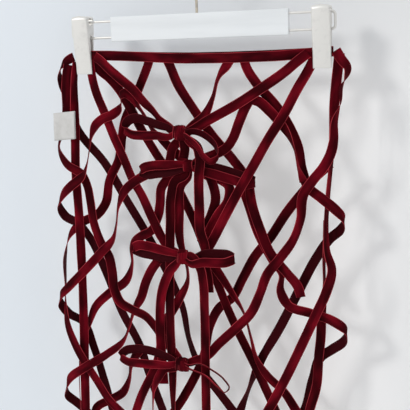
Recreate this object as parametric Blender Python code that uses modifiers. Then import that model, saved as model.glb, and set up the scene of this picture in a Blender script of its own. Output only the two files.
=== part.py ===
"""A velvet ribbon net skirt, tied with four bows, hanging on a clip hanger.

Metres, +Z up, the front faces -Y and +X is to the right. The origin is inside the top of the hook, where it hangs on
its rail. The tables are in millimetres, as a maker measures the hanging skirt: across from the middle, drop below the
waist line, and out in front of the middle plane. A row's face is the compass direction that the nap looks towards:
0 to the front, 90 to the right, -90 to the left and 180 to the back.
"""

import math

import bmesh
import bpy
from mathutils import Vector

MM = 0.001
GAP = 0.3

RIBBON_WIDTH = 11.5
RIBBON_THICK = 1.1
SECTION_EVERY = 18.0
LOOP_SECTION_EVERY = 7.0

# Heights from the inside of the hook's top
BAR_Z = -95.0
WAIST_Z = -127.0

# Hanger
BAR_LONG, BAR_HIGH, BAR_THICK, BAR_EDGE = 218.0, 29.0, 7.0, 1.0
WIRE_R = 1.5
RAIL_HALF = 9.5
RAIL_END = 162.5
RAIL_BEND = 4.0
HOOK_R = 20.0
HOOK_OPEN_DEG = 60.0
CLIP_X = 146.5
CLIP_WIDE = 20.0
JAW_WIDE = 17.0
PLATE_THICK = 0.9
PIN_R = 1.5
SPRING_R, SPRING_WIRE_R, SPRING_TURNS = 3.6, 0.6, 3

# Label
LABEL_TOP, LABEL_HIGH, LABEL_SLOPE, LABEL_THICK = 64.0, 34.0, -0.08, 0.8

VELVET = (0.16, 0.008, 0.016, 1.0)
WHITE = (0.80, 0.82, 0.82, 1.0)
NICKEL = (0.62, 0.60, 0.56, 1.0)
LABEL = (0.78, 0.77, 0.75, 1.0)

# Each row is (across, drop, out, face).
RIBBONS = {
    # Waist and hem, each one length that closes in a ring
    "waist": (
        (-157, -2, 1, 0), (-155, -2, 3, 0), (-134, -2, 3, 0), (-98, -0.5, 5, 0), (-60, 2, 6, 0), (-22, 4.5, 6, 0),
        (20, 5.5, 6, 0), (69, 5.5, 6, 0), (99, 5, 5, 0), (134, 3, 3, 0), (155, 2, 3, 0), (158, 2, 0, 90),
        (155, 2, -3, 180), (134, 3, -3, 180), (80, 4, -6, 180), (0, 4, -6, 180), (-80, 1, -6, 180),
        (-134, -2, -3, 180), (-155, -2, -3, 180), (-157, -2, -1, 180)),
    "hem": (
        (-190, 520, 2, -80), (-185, 520, 7, -45), (-165, 520, 10, -10), (-90, 521, 12, 0), (0, 522, 12, 0),
        (90, 521, 12, 0), (165, 520, 10, 10), (185, 520, 7, 45), (190, 520, 0, 90), (185, 520, -7, 135),
        (165, 520, -10, 170), (90, 521, -12, 180), (0, 522, -12, 180), (-90, 521, -12, 180),
        (-165, 520, -10, 190), (-185, 520, -7, 225), (-190, 520, -2, 260)),
    # Net ribbons from the waist
    "net_left_outer": (
        (-162, -1, 0, 0), (-170, 2, -1, -20), (-179, 8, -2, -55), (-185, 19, -3, -80), (-183, 31, -6, -130),
        (-178, 47, -9, -165), (-171, 85, -13, -180), (-134, 133, -15.6, -180), (-109, 175, -15.2, -180),
        (-79, 225, -14.5, -180), (-50, 281, -14.5, -185), (-38, 312, -15.5, -200), (-31.5, 354, -17, -212),
        (-17, 391, -16.6, -195), (6, 420, -16.5, -180), (48, 470, -15.5, -180), (84, 505, -14.2, -180),
        (100, 519, -13.6, -180)),
    "net_left_edge": (
        (-160, 5, 0, 78), (-163, 30, 1, 72), (-164, 60, 2, 50), (-165, 98, 3, 15), (-167, 140, 3, 10),
        (-166, 188, 3, 10), (-166, 233, 3, 20), (-166.5, 279, 3, 50), (-168, 332, 3, 35), (-171, 413, 4, 20),
        (-172, 460, 5, 10), (-172, 519, 5.5, 10)),
    "net_left_long": (
        (-134, 1, -0.4, 0), (-130, 13, -1, 10), (-118, 26, -6, 45), (-105, 44, -10, 45), (-95, 61, -10, 20),
        (-81, 88, -10, 0), (-66, 113, -10, 0), (-42, 150, -10, 0), (-14, 206, -10, 0), (5, 260, -10, 0),
        (27, 317, -10, 0), (58, 382, -10, 0), (80, 431, -10, 0), (120, 519, -10.4, 0)),
    "net_waist_1": (
        (-62, 1, -4.2, 0), (-66, 11, -4.4, 0), (-80, 34, -12, 0), (-91, 54, -14, 0), (-103, 76, -14, 20),
        (-109, 98, -14, 40), (-114, 125, -13, 10), (-129, 153, -13, 0), (-136, 182, -13, 20),
        (-150, 198, -14, 0), (-170, 207, -14, 0), (-186, 222, -10, -40), (-193, 250, -4, -80),
        (-193, 287, 0, -70), (-194, 312, 1, -50), (-190, 337, 7, -20), (-176, 366, 12.5, 0),
        (-150, 408, 12.5, 0), (-134, 432, 13, 0), (-104, 460, 13, 0), (-74, 519, 10.4, 0)),
    "net_waist_2": (
        (-39, 3, 4.2, 0), (-35, 11, 4.5, 0), (-24, 34, 8, 10), (-9, 58, 8, 0), (20, 98, 8, 0), (41, 122, 8, 0),
        (58, 146, 8, 0), (63, 175, 8, 12), (73, 205, 9, 20), (84.5, 232, 9, 20), (103.5, 254, 9, 0),
        (116, 271, 7, 10), (119, 283, 5.8, 0)),
    "net_waist_3": (
        (42, 4, 4.2, 0), (37, 12, 4.2, 0), (27, 29, 12, -50), (21, 49, 13, -50), (11, 69, 14, -20),
        (-6, 84, 15, 0), (-20, 98, 16, 0), (-30, 108, 17, 0), (-34, 120, 15.5, 0), (-37, 129, 14.6, 0)),
    "net_waist_4": (
        (56, 4, 4.2, 0), (58, 13, 4.6, 0), (72.5, 36, 8, 0), (93.5, 60, 8, 0), (107.5, 82, 6.5, 20),
        (118, 107, 5, 30), (123, 135, 5, 30), (129, 152, 7, 0), (146, 165, 10.5, 10), (160, 177, 8, 30),
        (169, 191, 0, 90), (164, 203, -7, 150), (150, 216, -12, 180), (133, 241, -12, 180),
        (115, 275, -12, 180), (89, 326, -12, 180), (61, 376, -12.6, 180), (56, 387, -14.4, 215),
        (52, 396, -15, 240), (46, 411, -15, 258), (39, 428, -14, 240), (31, 450, -12, 190), (14, 500, -10.6, 180),
        (8, 519, -10.4, 180)),
    "net_right_edge": (
        (164.9, 4, -1.7, 10), (160.5, 44, 0, 10), (158, 79, 2, 50), (155, 128, 2, 75), (151, 165, 2, 75),
        (149, 200, 3, 75), (151, 228, 8, 60), (157, 246, 12, 40), (151, 272, 14, 0), (139, 299, 14, 0),
        (118, 345, 14, 0), (102, 379, 14, 0), (77, 427, 14, 0), (50, 475, 13, 0), (33, 501, 10.6, 0),
        (24, 519, 10.4, 0)),
    "net_right_inner": (
        (147, 192, -4, 75), (146, 212, -4, 80), (145, 238, -3, 85), (145, 275, -2, 80), (142, 300, -2, 40),
        (140, 335, -2, 10), (137.5, 356, -2, 0), (134, 395, -2, 0), (127, 420, -2, 0), (114, 468, -5, 0),
        (96, 519, -7, 0)),
    # Net ribbons that join lower down
    "net_left_low": (
        (-57, 137, 15.6, 0), (-71, 143, 15.2, 0), (-83, 150, 15.2, 0), (-95, 160, 15, -10), (-105, 178, 14, -50), (-110, 204, 14, -58),
        (-115, 221, 14, -45), (-132, 239, 14, 0), (-155, 262, 14, 0), (-183, 288, 12, -20), (-199, 303, 5, -60),
        (-203, 315, -3, -110), (-197, 328, -9, -150), (-177, 340, -12, -180), (-163, 375, -12, -180),
        (-152, 414, -12, -180), (-144, 446, -12, -180), (-126, 519, -9.6, -180)),
    "net_left_hem": (
        (-56, 246, 14, 0), (-64.5, 257, 14, 10), (-73.5, 273, 13, 15), (-83.5, 296, 9, 5), (-94, 312, 7.4, -46),
        (-101.5, 334, 8.5, -55), (-107, 350, 13, -54), (-133, 372, 14, -42), (-166, 393, 16, 0), (-189, 410, 11, -30),
        (-199, 425, 3, -70), (-203, 440, -4, -100), (-193, 453, -11, -150), (-170, 474, -12.5, -180),
        (-154, 505, -8.4, -180), (-148, 519, -8.2, -180)),
    "net_left_lowest": (
        (-92, 366, -6.8, 0), (-101, 377, -6.8, -5), (-109, 390, -7.5, -40), (-113, 410, -8, -48), (-123, 430, -8, -15), (-143, 443, -8, 0), (-162, 455, -8, 0),
        (-168, 482, -7, 0), (-169, 519, -6, 0)),
    "net_right_loop": (
        (50, 152, 4, 10), (58, 176, 4, 15), (70, 212, 4, 20), (84, 238, 4, 20), (96, 257, 5, 70), (94.5, 276, 6, 50),
        (104, 293, 8, 0), (131, 301, 8, 0), (156, 309, 6, 30), (171, 323, 0, 90), (167, 336, -6, 140),
        (152, 349, -10, 170), (138, 360, -11, 180), (128, 388, -13, 180), (117, 430, -13, 180),
        (86, 480, -12, 180), (68, 505, -10.5, 180), (58, 519, -10.4, 180)),
    "net_back_cross": (
        (152, 128, -9, 0), (133, 145, -12.5, 0), (122, 158, -12.5, 0), (98, 188, -12.5, 0),
        (78, 218, -12.5, 0), (59, 241, -12.5, 0), (43, 269, -12.5, 0), (29, 294, -12.5, 0),
        (11, 309, -12.5, 0), (-1, 331, -12.5, 0), (-11, 372, -12.5, 0), (-38, 426, -12.5, 0),
        (-70, 475, -12.5, 0), (-92, 519, -10.4, 0)),
    "net_right_thin": (
        (8, 254, -7, 10), (27, 282, -7, -25), (45, 310, -5, -58), (54, 341, -3.8, -55), (59.5, 366, -4.6, -42),
        (73, 389, -7, -10), (93, 407, -7, 0), (108, 430, -7, 10), (134, 470, -8, 20), (152, 519, -8.4, 0)),
    # Ties, a left and a right one for each bow
    "tie_1_left": (
        (-131, -1, 5, 0), (-122, 4, 9, 0), (-109, 13, 16, 0), (-93, 25, 20, 0), (-75, 40, 20, 0),
        (-63, 53.5, 20, -10), (-52, 64, 19.5, -35), (-43, 75, 19, -35), (-35, 82, 19, -10), (-28, 87, 20, 10)),
    "tie_1_right": (
        (131, 3, 4.8, 0), (121, 11, 11, 0), (107, 23, 18, 0), (82, 39.5, 21, 0), (50, 58.5, 21, 0), (16, 76, 22, 0),
        (-5, 87, 24, 0)),
    "tie_2_left": (
        (-23, 119, 12, 10), (-36, 107, 13, 0), (-47, 96, 14, -30), (-56, 86, 15, -50), (-65, 70.5, 14.4, -55),
        (-73, 58.5, 15, -45), (-81, 47, 15, 10), (-89, 43, 17, -10), (-94, 47, 17, -50), (-94, 54, 15, -70),
        (-98, 62, 14, -30), (-108, 69, 15, 0), (-121, 74, 15, 0), (-130, 81, 15, 0), (-136, 92, 15, -40),
        (-140, 110, 15, -58), (-145, 131, 16, -58), (-150, 142, 16, -40), (-158, 149, 16, -10), (-168, 156, 15, 0),
        (-184, 169, 9, -40), (-195, 184, 0, -90), (-191, 199, -7, -140), (-175, 208, -9, -170),
        (-159, 226, -9, -180), (-142, 263, -10, -180), (-119, 322, -10, -180), (-96, 365, -9, -180),
        (-85, 401, -9, -180), (-67, 453, -9, -180), (-44, 519, -10.2, -180)),
    "tie_2_right": (
        (6, 121, 13, 10), (20, 116, 11.5, 10), (35, 108, 12, 0), (43, 98, 13, 10), (52, 78, 14, 10),
        (61, 60, 15, 10), (67, 53, 17, 0), (74, 54, 17, 20), (88, 66, 13.5, 10), (98, 77, 13.5, -5),
        (109.5, 93, 14.5, -45), (116.5, 110, 14.8, -66), (121, 130, 14.8, -60), (126, 146, 12.8, -15)),
    "tie_3_left": (
        (-140, 2, 1.5, 0), (-139, 13, 1.5, 0), (-137, 24, 3, 0), (-130, 41, 9, 0), (-118, 67, 12.5, 0),
        (-108, 94, 12.5, 0), (-96, 121, 12.5, 0), (-85, 148, 12.5, 0), (-75, 165, 12.5, 0),
        (-62, 192, 14, 10), (-49, 217, 15.5, 10), (-40.5, 229, 16.5, 0)),
    "tie_3_right": (
        (139, 5, 0.8, 0), (135.5, 12, 0.8, 0), (130.5, 22, 3, 0), (120.5, 42, 15, 0), (107, 68, 20, 0), (87, 98, 20, 0),
        (69, 128, 20, 0), (51, 157, 20, 0), (31, 191, 18, 10), (14, 220, 14.6, 10),
        (6, 233, 14.4, 0)),
    "tie_4_left": (
        (-168, 8, 4, 20), (-171, 20, 4, 15), (-173, 34, 4, 15), (-175, 63, 3, 0), (-182, 90, 3, -40),
        (-187, 109, 6, -50), (-176, 130, 8, -10), (-156, 143, 8, 10), (-149, 158, 8, 0), (-146, 174, 9, 0),
        (-142.5, 203, 9.5, 0), (-133.5, 229, 9.5, 10), (-123.5, 246, 10, 30), (-120.5, 264, 10, 30),
        (-118, 287, 11, 30), (-110, 302, 13, 20), (-95.5, 310, 13.2, 0), (-75.5, 318.5, 13.2, 0),
        (-63, 332, 13.4, 0), (-53, 346, 13.4, 5), (-43, 358, 13.6, 10)),
    "tie_4_right": (
        (161.5, 1, 2, 10), (167, 10, 2, 30), (174.5, 21, 3, 50), (173, 31, 7, 90), (168.5, 42, 9, 120),
        (168.5, 56, 11, 110), (162, 79, 15, 60), (161.5, 98, 17, 40), (158, 113, 17, 10), (150, 128, 17, 0),
        (137, 144, 17, 0), (126, 161, 17, 10), (123, 187, 17, 40), (114, 212, 17, 40), (97, 236, 17, 10),
        (82, 255, 17, 20), (73, 278, 17, 30), (61, 303, 17, 0), (42, 323, 17, 0), (21, 343, 18, 10),
        (2, 362, 19.5, 15)),
    # Tails of the bows
    "tail_1_short": (
        (-14, 99, 25, 10), (-12, 107, 24, 30), (-15, 119, 21.5, 20)),
    "tail_1_long": (
        (-3, 100, 26, 20), (4, 105, 27, 10), (7.5, 116, 28, 15), (6, 140, 29, 18), (5, 180, 28, 18), (4, 205, 25, 15),
        (7, 224, 19, 0), (6, 245, 18, 5), (10, 262, 20, 5), (11, 280, 21, 10)),
    "tail_2_a": (
        (-24, 140, 13.2, 0), (-38, 145, 13, 0), (-48, 155, 11, 10), (-52.5, 178, 9, 15), (-58, 199, 8.5, 50),
        (-67, 211, 6, 30), (-82, 219, 1, 10), (-95, 229, -5, -10), (-101, 240, -8, -40), (-101, 256, -8, -50),
        (-109, 278, -7.2, -15), (-134, 297, -7.2, 0), (-156, 318, -7, -10), (-165, 339, -5, -35),
        (-176, 362, -4, -55), (-181, 392, -3, -58), (-183, 450, -2, -58), (-182, 495, -1, -20),
        (-180, 519, -1, 0)),
    "tail_2_b": (
        (-15, 139, 17.6, 0), (-28, 147, 18.5, 5), (-33, 165, 20.4, 15), (-35, 195, 20.6, 15),
        (-37, 224, 20.4, 10), (-39, 250, 18, 0), (-41, 290, 18, 0), (-42, 330, 18, 0), (-42.5, 380, 15.6, 0),
        (-43.5, 425, 16, -38), (-43, 484, 16, -30)),
    "tail_2_c": (
        (-13, 141, 15, 0), (-22, 152, 15.2, 10), (-25, 180, 15.6, 12), (-25.5, 222, 15, -15), (-19, 247, 15, -48),
        (-18, 267, 14, -50), (-33, 296, 12, -10), (-50, 323, 10, 10), (-66, 380, 10, 0), (-89, 425, 10, 0),
        (-106, 470, 10, 0)),
    "tail_2_d": (
        (5, 134, 15, 10), (12, 139, 14.5, 10), (18, 152, 14, 10), (20, 168, 12.4, 15), (14, 186, 10.5, 25),
        (5, 204, 9.5, 20), (-1, 222, 9, 10)),
    "tail_2_e": (
        (10, 141, 10.6, 0), (24, 145, 10.4, 0), (36, 153, 10.4, 10), (36, 168, 12.4, 10), (22, 188, 13.5, 20),
        (10, 208, 12, 20), (3, 224, 11.5, 10)),
    "tail_3_left": (
        (-28, 247, 31, 0), (-33, 252, 31, 0), (-39, 261, 28, 10), (-46.5, 276, 24.5, 15), (-54, 320, 21, 18),
        (-55, 350, 19, 18), (-54, 402, 17.2, 12)),
    "tail_3_right": (
        (-7, 233, 33, 0), (-1, 237, 34, 0), (5, 248, 32, 0), (7, 264, 30, 0), (7, 300, 28, 0), (7, 345, 30, 0),
        (6, 390, 30, 0), (4, 430, 26, 0), (3, 474, 22, 0)),
    "tail_4_left": (
        (-36, 377, 22.5, 0), (-50, 380, 22.5, 0), (-58, 391, 22.5, -15), (-66, 406, 21, -45), (-69, 428, 20, -60), (-70, 452, 19, -60),
        (-74, 478, 17, -50)),
}

# A bow's knot: (bow, across, drop, out, wide, high, deep).
KNOTS = (
    (1, -16, 89, 27, 17, 19, 10),
    (2, -9, 128, 21, 11, 15, 9),
    (3, -18, 236, 28, 15, 19, 10),
    (4, -24, 370, 28, 17, 19, 10),
)

# A bow's loops: the direction of the ribbon's width, then rows of (across, drop, out), the run in front first on the
# left and last on the right.
LOOPS = {
    "loop_1_left": ((0, -0.25, 0.97), (
        (-26, 93, 30), (-46, 92, 30), (-64, 92, 30), (-78, 90, 30), (-85, 84, 29), (-82, 76, 27), (-72, 72, 26),
        (-58, 75, 26), (-43, 80, 26), (-26, 85, 26))),
    "loop_1_right": ((0.3, -0.6, 0.74), (
        (-6, 87, 32), (6, 87, 34), (20, 93, 35), (30, 104, 35), (31, 115, 35), (24, 121, 35), (15, 115, 35),
        (8, 104, 36), (-5, 93, 36))),
    "loop_2_left": ((-0.06, 0.05, 1), (
        (-17, 126, 25), (-35, 127, 26), (-53, 128, 26), (-65, 131, 25), (-70, 135, 22.5), (-64, 139, 20.5),
        (-50, 138, 20), (-33, 136, 20), (-17, 132, 20))),
    "loop_2_right": ((0.1, 0, 1), (
        (0, 127, 19), (22, 131, 16), (45, 138, 12.8), (62, 144, 12.6), (69, 147, 14), (62, 149.5, 16.5),
        (45, 145, 18), (22, 138, 21), (0, 132, 24))),
    "loop_3_left": ((-0.06, 0.05, 1), (
        (-27, 231, 33), (-43, 227.5, 33.5), (-60, 224, 33), (-73, 223.5, 32), (-80.5, 228, 29.5), (-74, 233, 27),
        (-60, 236, 26), (-44, 238, 26), (-27, 239.5, 27))),
    "loop_3_right": ((0, -0.05, 1), (
        (-6, 237, 25), (10, 232, 25), (27, 231, 26), (40, 231.5, 27.5), (47, 234.5, 31), (40, 238, 36),
        (24, 239, 38), (11, 239, 39), (-4, 242, 39))),
    "loop_4_left": ((0, -0.05, 1), (
        (-35, 370, 33), (-58, 371.5, 33), (-80, 372, 33), (-97, 371, 32), (-105, 366, 30), (-100, 360, 26.5),
        (-88, 357, 25), (-70, 357, 25), (-52, 361, 25), (-35, 366, 27))),
    "loop_4_right": ((0.45, -0.85, 0.45), (
        (-13, 367, 34), (2, 363.5, 38), (18, 370, 38), (32, 380, 38), (38, 390, 38), (33, 396, 38), (23, 390, 38),
        (9, 378, 38), (-12, 373, 35))),
}

# A clip's front jaw, from its top to its bottom: height from the bar's middle, face in front of the middle plane, and
# how far back its side ears reach. The back jaw is the same turned round, with its shorter ears inside the front ones.
JAW_ROWS = (
    (15.0, 8.0, 3.0, 2.5),
    (17.0, 10.0, 3.0, 2.5),
    (14.0, 11.6, 4.0, 3.0),
    (7.0, 11.0, 6.0, 4.5),
    (4.0, 10.7, 13.5, 13.5),
    (-4.0, 9.9, 12.7, 12.7),
    (-8.0, 9.4, 5.2, 4.5),
    (-20.0, 7.9, 3.6, 2.6),
    (-36.0, 5.8, 1.8, 1.4),
    (-52.0, 3.9, 0.6, 0.6),
)


def clear_scene():
    for obj in list(bpy.data.objects):
        bpy.data.objects.remove(obj)


def material(name, colour, roughness, metallic=0.0):
    made = bpy.data.materials.new(name)
    made.use_nodes = True
    shader = made.node_tree.nodes["Principled BSDF"]
    shader.inputs["Base Color"].default_value = colour
    shader.inputs["Roughness"].default_value = roughness
    shader.inputs["Metallic"].default_value = metallic
    return made


def new_object(name, data, finish, parent=None):
    obj = bpy.data.objects.new(name, data)
    data.materials.append(finish)
    obj.parent = parent
    skirt.objects.link(obj)
    return obj


def empty(name, place, parent=None):
    obj = bpy.data.objects.new(name, None)
    obj.location = place
    obj.parent = parent
    skirt.objects.link(obj)
    return obj


def mesh_from(bm, name):
    mesh = bpy.data.meshes.new(name)
    bm.to_mesh(mesh)
    bm.free()
    return mesh


def smooth(obj, angle=40):
    obj.data.shade_smooth()
    obj.data.set_sharp_from_angle(angle=math.radians(angle))


def solidify(obj, thick):
    wall = obj.modifiers.new("wall", "SOLIDIFY")
    wall.thickness = thick * MM
    wall.offset = 0


# Ribbons


def place(across, drop, out):
    """A table's place, in metres."""
    return Vector((across, -out, WAIST_Z - drop)) * MM


def curve_through(values, every):
    """A smooth curve through the rows' values, whose first three are a place, read about every so many mm."""
    gaps = [(b - a).xyz.length for a, b in zip(values, values[1:])]
    slopes = [(b - a) / gap for a, b, gap in zip(values, values[1:], gaps)]
    tangents = [slopes[0]]
    for i in range(1, len(slopes)):
        tangents.append((slopes[i - 1] * gaps[i] + slopes[i] * gaps[i - 1]) / (gaps[i - 1] + gaps[i]))
    tangents.append(slopes[-1])
    found = []
    for i, gap in enumerate(gaps):
        steps = max(1, round(gap / (every * MM)))
        for t in (k / steps for k in range(steps)):
            found.append(values[i] * (2 * t**3 - 3 * t**2 + 1) + values[i + 1] * (3 * t**2 - 2 * t**3)
                         + (tangents[i] * (t**3 - 2 * t**2 + t) + tangents[i + 1] * (t**3 - t**2)) * gap)
    return found + [values[-1]]


def heading(line, i):
    """Which way a line runs at one of its points."""
    return (line[min(i + 1, len(line) - 1)] - line[max(i - 1, 0)]).normalized()


def strip(name, line, across):
    """A ribbon along a line: an open strip, its width in the directions given for each point, made solid."""
    bm = bmesh.new()
    bmesh.ops.create_grid(bm, x_segments=len(line) - 1, y_segments=1, size=1)
    rows = sorted(bm.verts, key=lambda v: (round(v.co.x, 4), v.co.y))
    for i, (centre, side) in enumerate(zip(line, across, strict=True)):
        rows[2 * i].co = centre - side * RIBBON_WIDTH * MM / 2
        rows[2 * i + 1].co = centre + side * RIBBON_WIDTH * MM / 2
    obj = new_object(name, mesh_from(bm, name), velvet)
    solidify(obj, RIBBON_THICK)
    smooth(obj)
    return obj


def ribbon(name, rows):
    """A ribbon through rows of (across, drop, out, face)."""
    values = [place(*row[:3]).to_4d() for row in rows]
    for value, row in zip(values, rows, strict=True):
        value.w = math.radians(row[3])
    read = curve_through(values, SECTION_EVERY)
    line = [value.xyz for value in read]
    naps = [Vector((math.sin(value.w), -math.cos(value.w), 0)) for value in read]
    strip(name, line, [heading(line, i).cross(nap).normalized() for i, nap in enumerate(naps)])


def bow_loop(name, wide, rows):
    """A bow's loop through rows of (across, drop, out), with its width in one direction."""
    line = curve_through([place(*row) for row in rows], LOOP_SECTION_EVERY)
    wide = Vector(wide)
    across = []
    for i in range(len(line)):
        ahead = heading(line, i)
        across.append((wide - ahead * wide.dot(ahead)).normalized())
    strip(name, line, across)


def bow_knot(bow, across, drop, out, wide, high, deep):
    bm = bmesh.new()
    bmesh.ops.create_uvsphere(bm, u_segments=10, v_segments=7, radius=0.5)
    bmesh.ops.scale(bm, vec=Vector((wide, deep, high)) * MM, verts=bm.verts)
    obj = new_object(f"knot_{bow}", mesh_from(bm, "knot"), velvet)
    obj.location = place(across, drop, out)
    smooth(obj)


def woven_label():
    """A blank woven label in front of the left side, folded at its left edge."""
    bm = bmesh.new()
    bmesh.ops.create_grid(bm, x_segments=1, y_segments=6, size=1)
    rows = sorted(bm.verts, key=lambda v: (round(v.co.y, 4), v.co.x))
    profile = ((-159, 12.8), (-180, 12.8), (-187, 12.6), (-188, 11.7), (-187, 10.8), (-180, 10.6), (-159, 10.6))
    for i, (across, out) in enumerate(profile):
        slope = (across + 159) * LABEL_SLOPE
        rows[2 * i].co = place(across - 1, LABEL_TOP + LABEL_HIGH + slope, out)
        rows[2 * i + 1].co = place(across, LABEL_TOP + slope, out)
    obj = new_object("woven_label", mesh_from(bm, "woven_label"), label_cloth)
    solidify(obj, LABEL_THICK)


# Hanger


def wire(name, points, radius, finish, parent=None):
    """A wire through points in millimetres, with closed ends."""
    data = bpy.data.curves.new(name, "CURVE")
    data.dimensions = "3D"
    data.bevel_depth = radius * MM
    data.bevel_resolution = 2
    data.use_fill_caps = True
    run = data.splines.new("POLY")
    run.points.add(len(points) - 1)
    for point, at in zip(run.points, points, strict=True):
        point.co = (*(Vector(at) * MM), 1)
    return new_object(name, data, finish, parent)


def arc(centre, radius, start, end, count):
    """Points of an arc in the XZ plane, in degrees from +X towards +Z."""
    turned = [math.radians(start + (end - start) * i / (count - 1)) for i in range(count)]
    return [(centre[0] + radius * math.cos(a), 0, centre[2] + radius * math.sin(a)) for a in turned]


def hook():
    """The hook: a stem from the bar, and a round crook whose top is over the origin."""
    centre = (0, 0, WIRE_R - HOOK_R)
    crook = arc(centre, HOOK_R, 180 + HOOK_OPEN_DEG, -90, 20)
    stem = [(0, 0, centre[2] - HOOK_R - 6), (0, 0, BAR_Z + BAR_HIGH / 2 + GAP)]
    wire("hook", crook + stem, WIRE_R, nickel)


def bar():
    """The white bar, with a bore from end to end for each of the rail's two runs."""
    bm = bmesh.new()
    bmesh.ops.create_cube(bm, size=1)
    bmesh.ops.scale(bm, vec=Vector((BAR_LONG, BAR_THICK, BAR_HIGH)) * MM, verts=bm.verts)
    obj = new_object("bar", mesh_from(bm, "bar"), white)
    obj.location = Vector((0, 0, BAR_Z)) * MM
    edge = obj.modifiers.new("edge", "BEVEL")
    edge.width = BAR_EDGE * MM
    edge.segments = 2
    for level in (-1, 1):
        bm = bmesh.new()
        bmesh.ops.create_cone(bm, cap_ends=True, segments=12, radius1=(WIRE_R + GAP) * MM,
                              radius2=(WIRE_R + GAP) * MM, depth=(BAR_LONG + 20) * MM)
        cutter = bpy.data.objects.new("bore_cutter", mesh_from(bm, "bore_cutter"))
        cutters.objects.link(cutter)
        cutter.location = Vector((0, 0, BAR_Z + level * RAIL_HALF)) * MM
        cutter.rotation_euler.y = math.radians(90)
        cutter.hide_render = True
        cutter.display_type = "WIRE"
        cut = obj.modifiers.new("bore", "BOOLEAN")
        cut.operation = "DIFFERENCE"
        cut.object = cutter


def rail():
    """One closed loop of wire, through the bar's two bores and out through both clips."""
    centre_x = RAIL_END - WIRE_R - RAIL_BEND
    right = arc((centre_x, 0, BAR_Z + RAIL_HALF - RAIL_BEND), RAIL_BEND, 90, 0, 5)
    right += arc((centre_x, 0, BAR_Z - RAIL_HALF + RAIL_BEND), RAIL_BEND, 0, -90, 5)
    left = [(-x, y, z) for x, y, z in reversed(right)]
    wire("rail", right + left, WIRE_R, nickel).data.splines[0].use_cyclic_u = True


def jaw(name, parent, facing):
    """A pressed plate with an ear along each side. Facing 1 is the front jaw and -1 the back one, which fits inside."""
    half = (CLIP_WIDE if facing > 0 else JAW_WIDE) / 2
    bm = bmesh.new()
    bmesh.ops.create_grid(bm, x_segments=3, y_segments=len(JAW_ROWS) - 1, size=1)
    rows = sorted(bm.verts, key=lambda v: (round(v.co.y, 4), v.co.x))
    for i, (height, face, front_ear, back_ear) in enumerate(JAW_ROWS):
        ear = front_ear if facing > 0 else back_ear
        corners = ((-half, ear), (-half, 0), (half, 0), (half, ear))
        for k, (x, back) in enumerate(corners):
            rows[4 * i + k].co = Vector((x, -facing * (face - back), height)) * MM
    obj = new_object(name, mesh_from(bm, name), nickel, parent)
    solidify(obj, PLATE_THICK)
    obj.modifiers["wall"].use_even_offset = True


def clip(side_name, side):
    """A sliding clip: two jaws on a pin between the two runs of its rail, and a spring round the pin."""
    middle = empty(f"clip_{side_name}", Vector((side * CLIP_X, 0, BAR_Z)) * MM)
    jaw(f"jaw_front_{side_name}", middle, 1)
    jaw(f"jaw_back_{side_name}", middle, -1)
    reach = JAW_WIDE / 2 - PLATE_THICK / 2 - GAP
    wire(f"pin_{side_name}", [(-reach, 0, 0), (reach, 0, 0)], PIN_R, nickel, middle)
    steps = 10
    coil = []
    for i in range(SPRING_TURNS * steps + 1):
        turned = math.radians(360 / steps) * i
        x = -3.6 + 7.2 * i / (SPRING_TURNS * steps)
        coil.append((x, SPRING_R * math.cos(turned), SPRING_R * math.sin(turned)))
    wire(f"spring_{side_name}", coil, SPRING_WIRE_R, nickel, middle)


clear_scene()
skirt = bpy.data.collections.new("ribbon_net_skirt")
cutters = bpy.data.collections.new("cutters")
for collection in (skirt, cutters):
    bpy.context.scene.collection.children.link(collection)

velvet = material("velvet", VELVET, 0.75)
white = material("white_plastic", WHITE, 0.4)
nickel = material("nickel", NICKEL, 0.3, 1.0)
label_cloth = material("label_cloth", LABEL, 0.8)

for ribbon_name, ribbon_rows in RIBBONS.items():
    ribbon(ribbon_name, ribbon_rows)
for loop_name, (loop_wide, loop_rows) in LOOPS.items():
    bow_loop(loop_name, loop_wide, loop_rows)
for knot_row in KNOTS:
    bow_knot(*knot_row)
woven_label()
hook()
bar()
rail()
clip("left", -1)
clip("right", 1)
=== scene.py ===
"""A velvet ribbon net skirt, tied with four bows, on its clip hanger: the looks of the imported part.

Metres, +Z up and the front faces -Y. The tables are in millimetres, as a maker measures the hanging skirt: across
from the middle, drop below the waist line, and out in front of the middle plane. A row's face is the direction that
the nap looks towards: 0 to the front, 90 to the right, -90 to the left and 180 to the back.
"""

import itertools
import math

import bmesh
import bpy
from mathutils import Matrix, Vector, noise


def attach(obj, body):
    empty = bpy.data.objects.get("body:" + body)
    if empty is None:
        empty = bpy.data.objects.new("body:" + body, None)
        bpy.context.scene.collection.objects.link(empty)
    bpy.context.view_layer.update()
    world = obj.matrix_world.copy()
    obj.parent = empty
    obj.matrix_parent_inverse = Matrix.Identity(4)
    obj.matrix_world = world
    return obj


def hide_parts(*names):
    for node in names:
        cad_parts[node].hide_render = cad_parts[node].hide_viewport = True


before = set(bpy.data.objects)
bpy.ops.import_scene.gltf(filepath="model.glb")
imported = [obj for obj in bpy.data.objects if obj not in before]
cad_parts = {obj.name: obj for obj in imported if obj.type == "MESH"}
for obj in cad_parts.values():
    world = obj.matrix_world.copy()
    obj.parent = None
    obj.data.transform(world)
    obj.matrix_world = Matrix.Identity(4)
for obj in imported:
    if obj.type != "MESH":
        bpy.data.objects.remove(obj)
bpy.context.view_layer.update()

MM = 0.001
BODY = "root"


# The skirt's ribbons

RIBBON_WIDTH = 11.5
WAIST_Z = -127.0

# A ribbon has a section every so many mm along it.
SECTION_EVERY = 2.4

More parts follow.
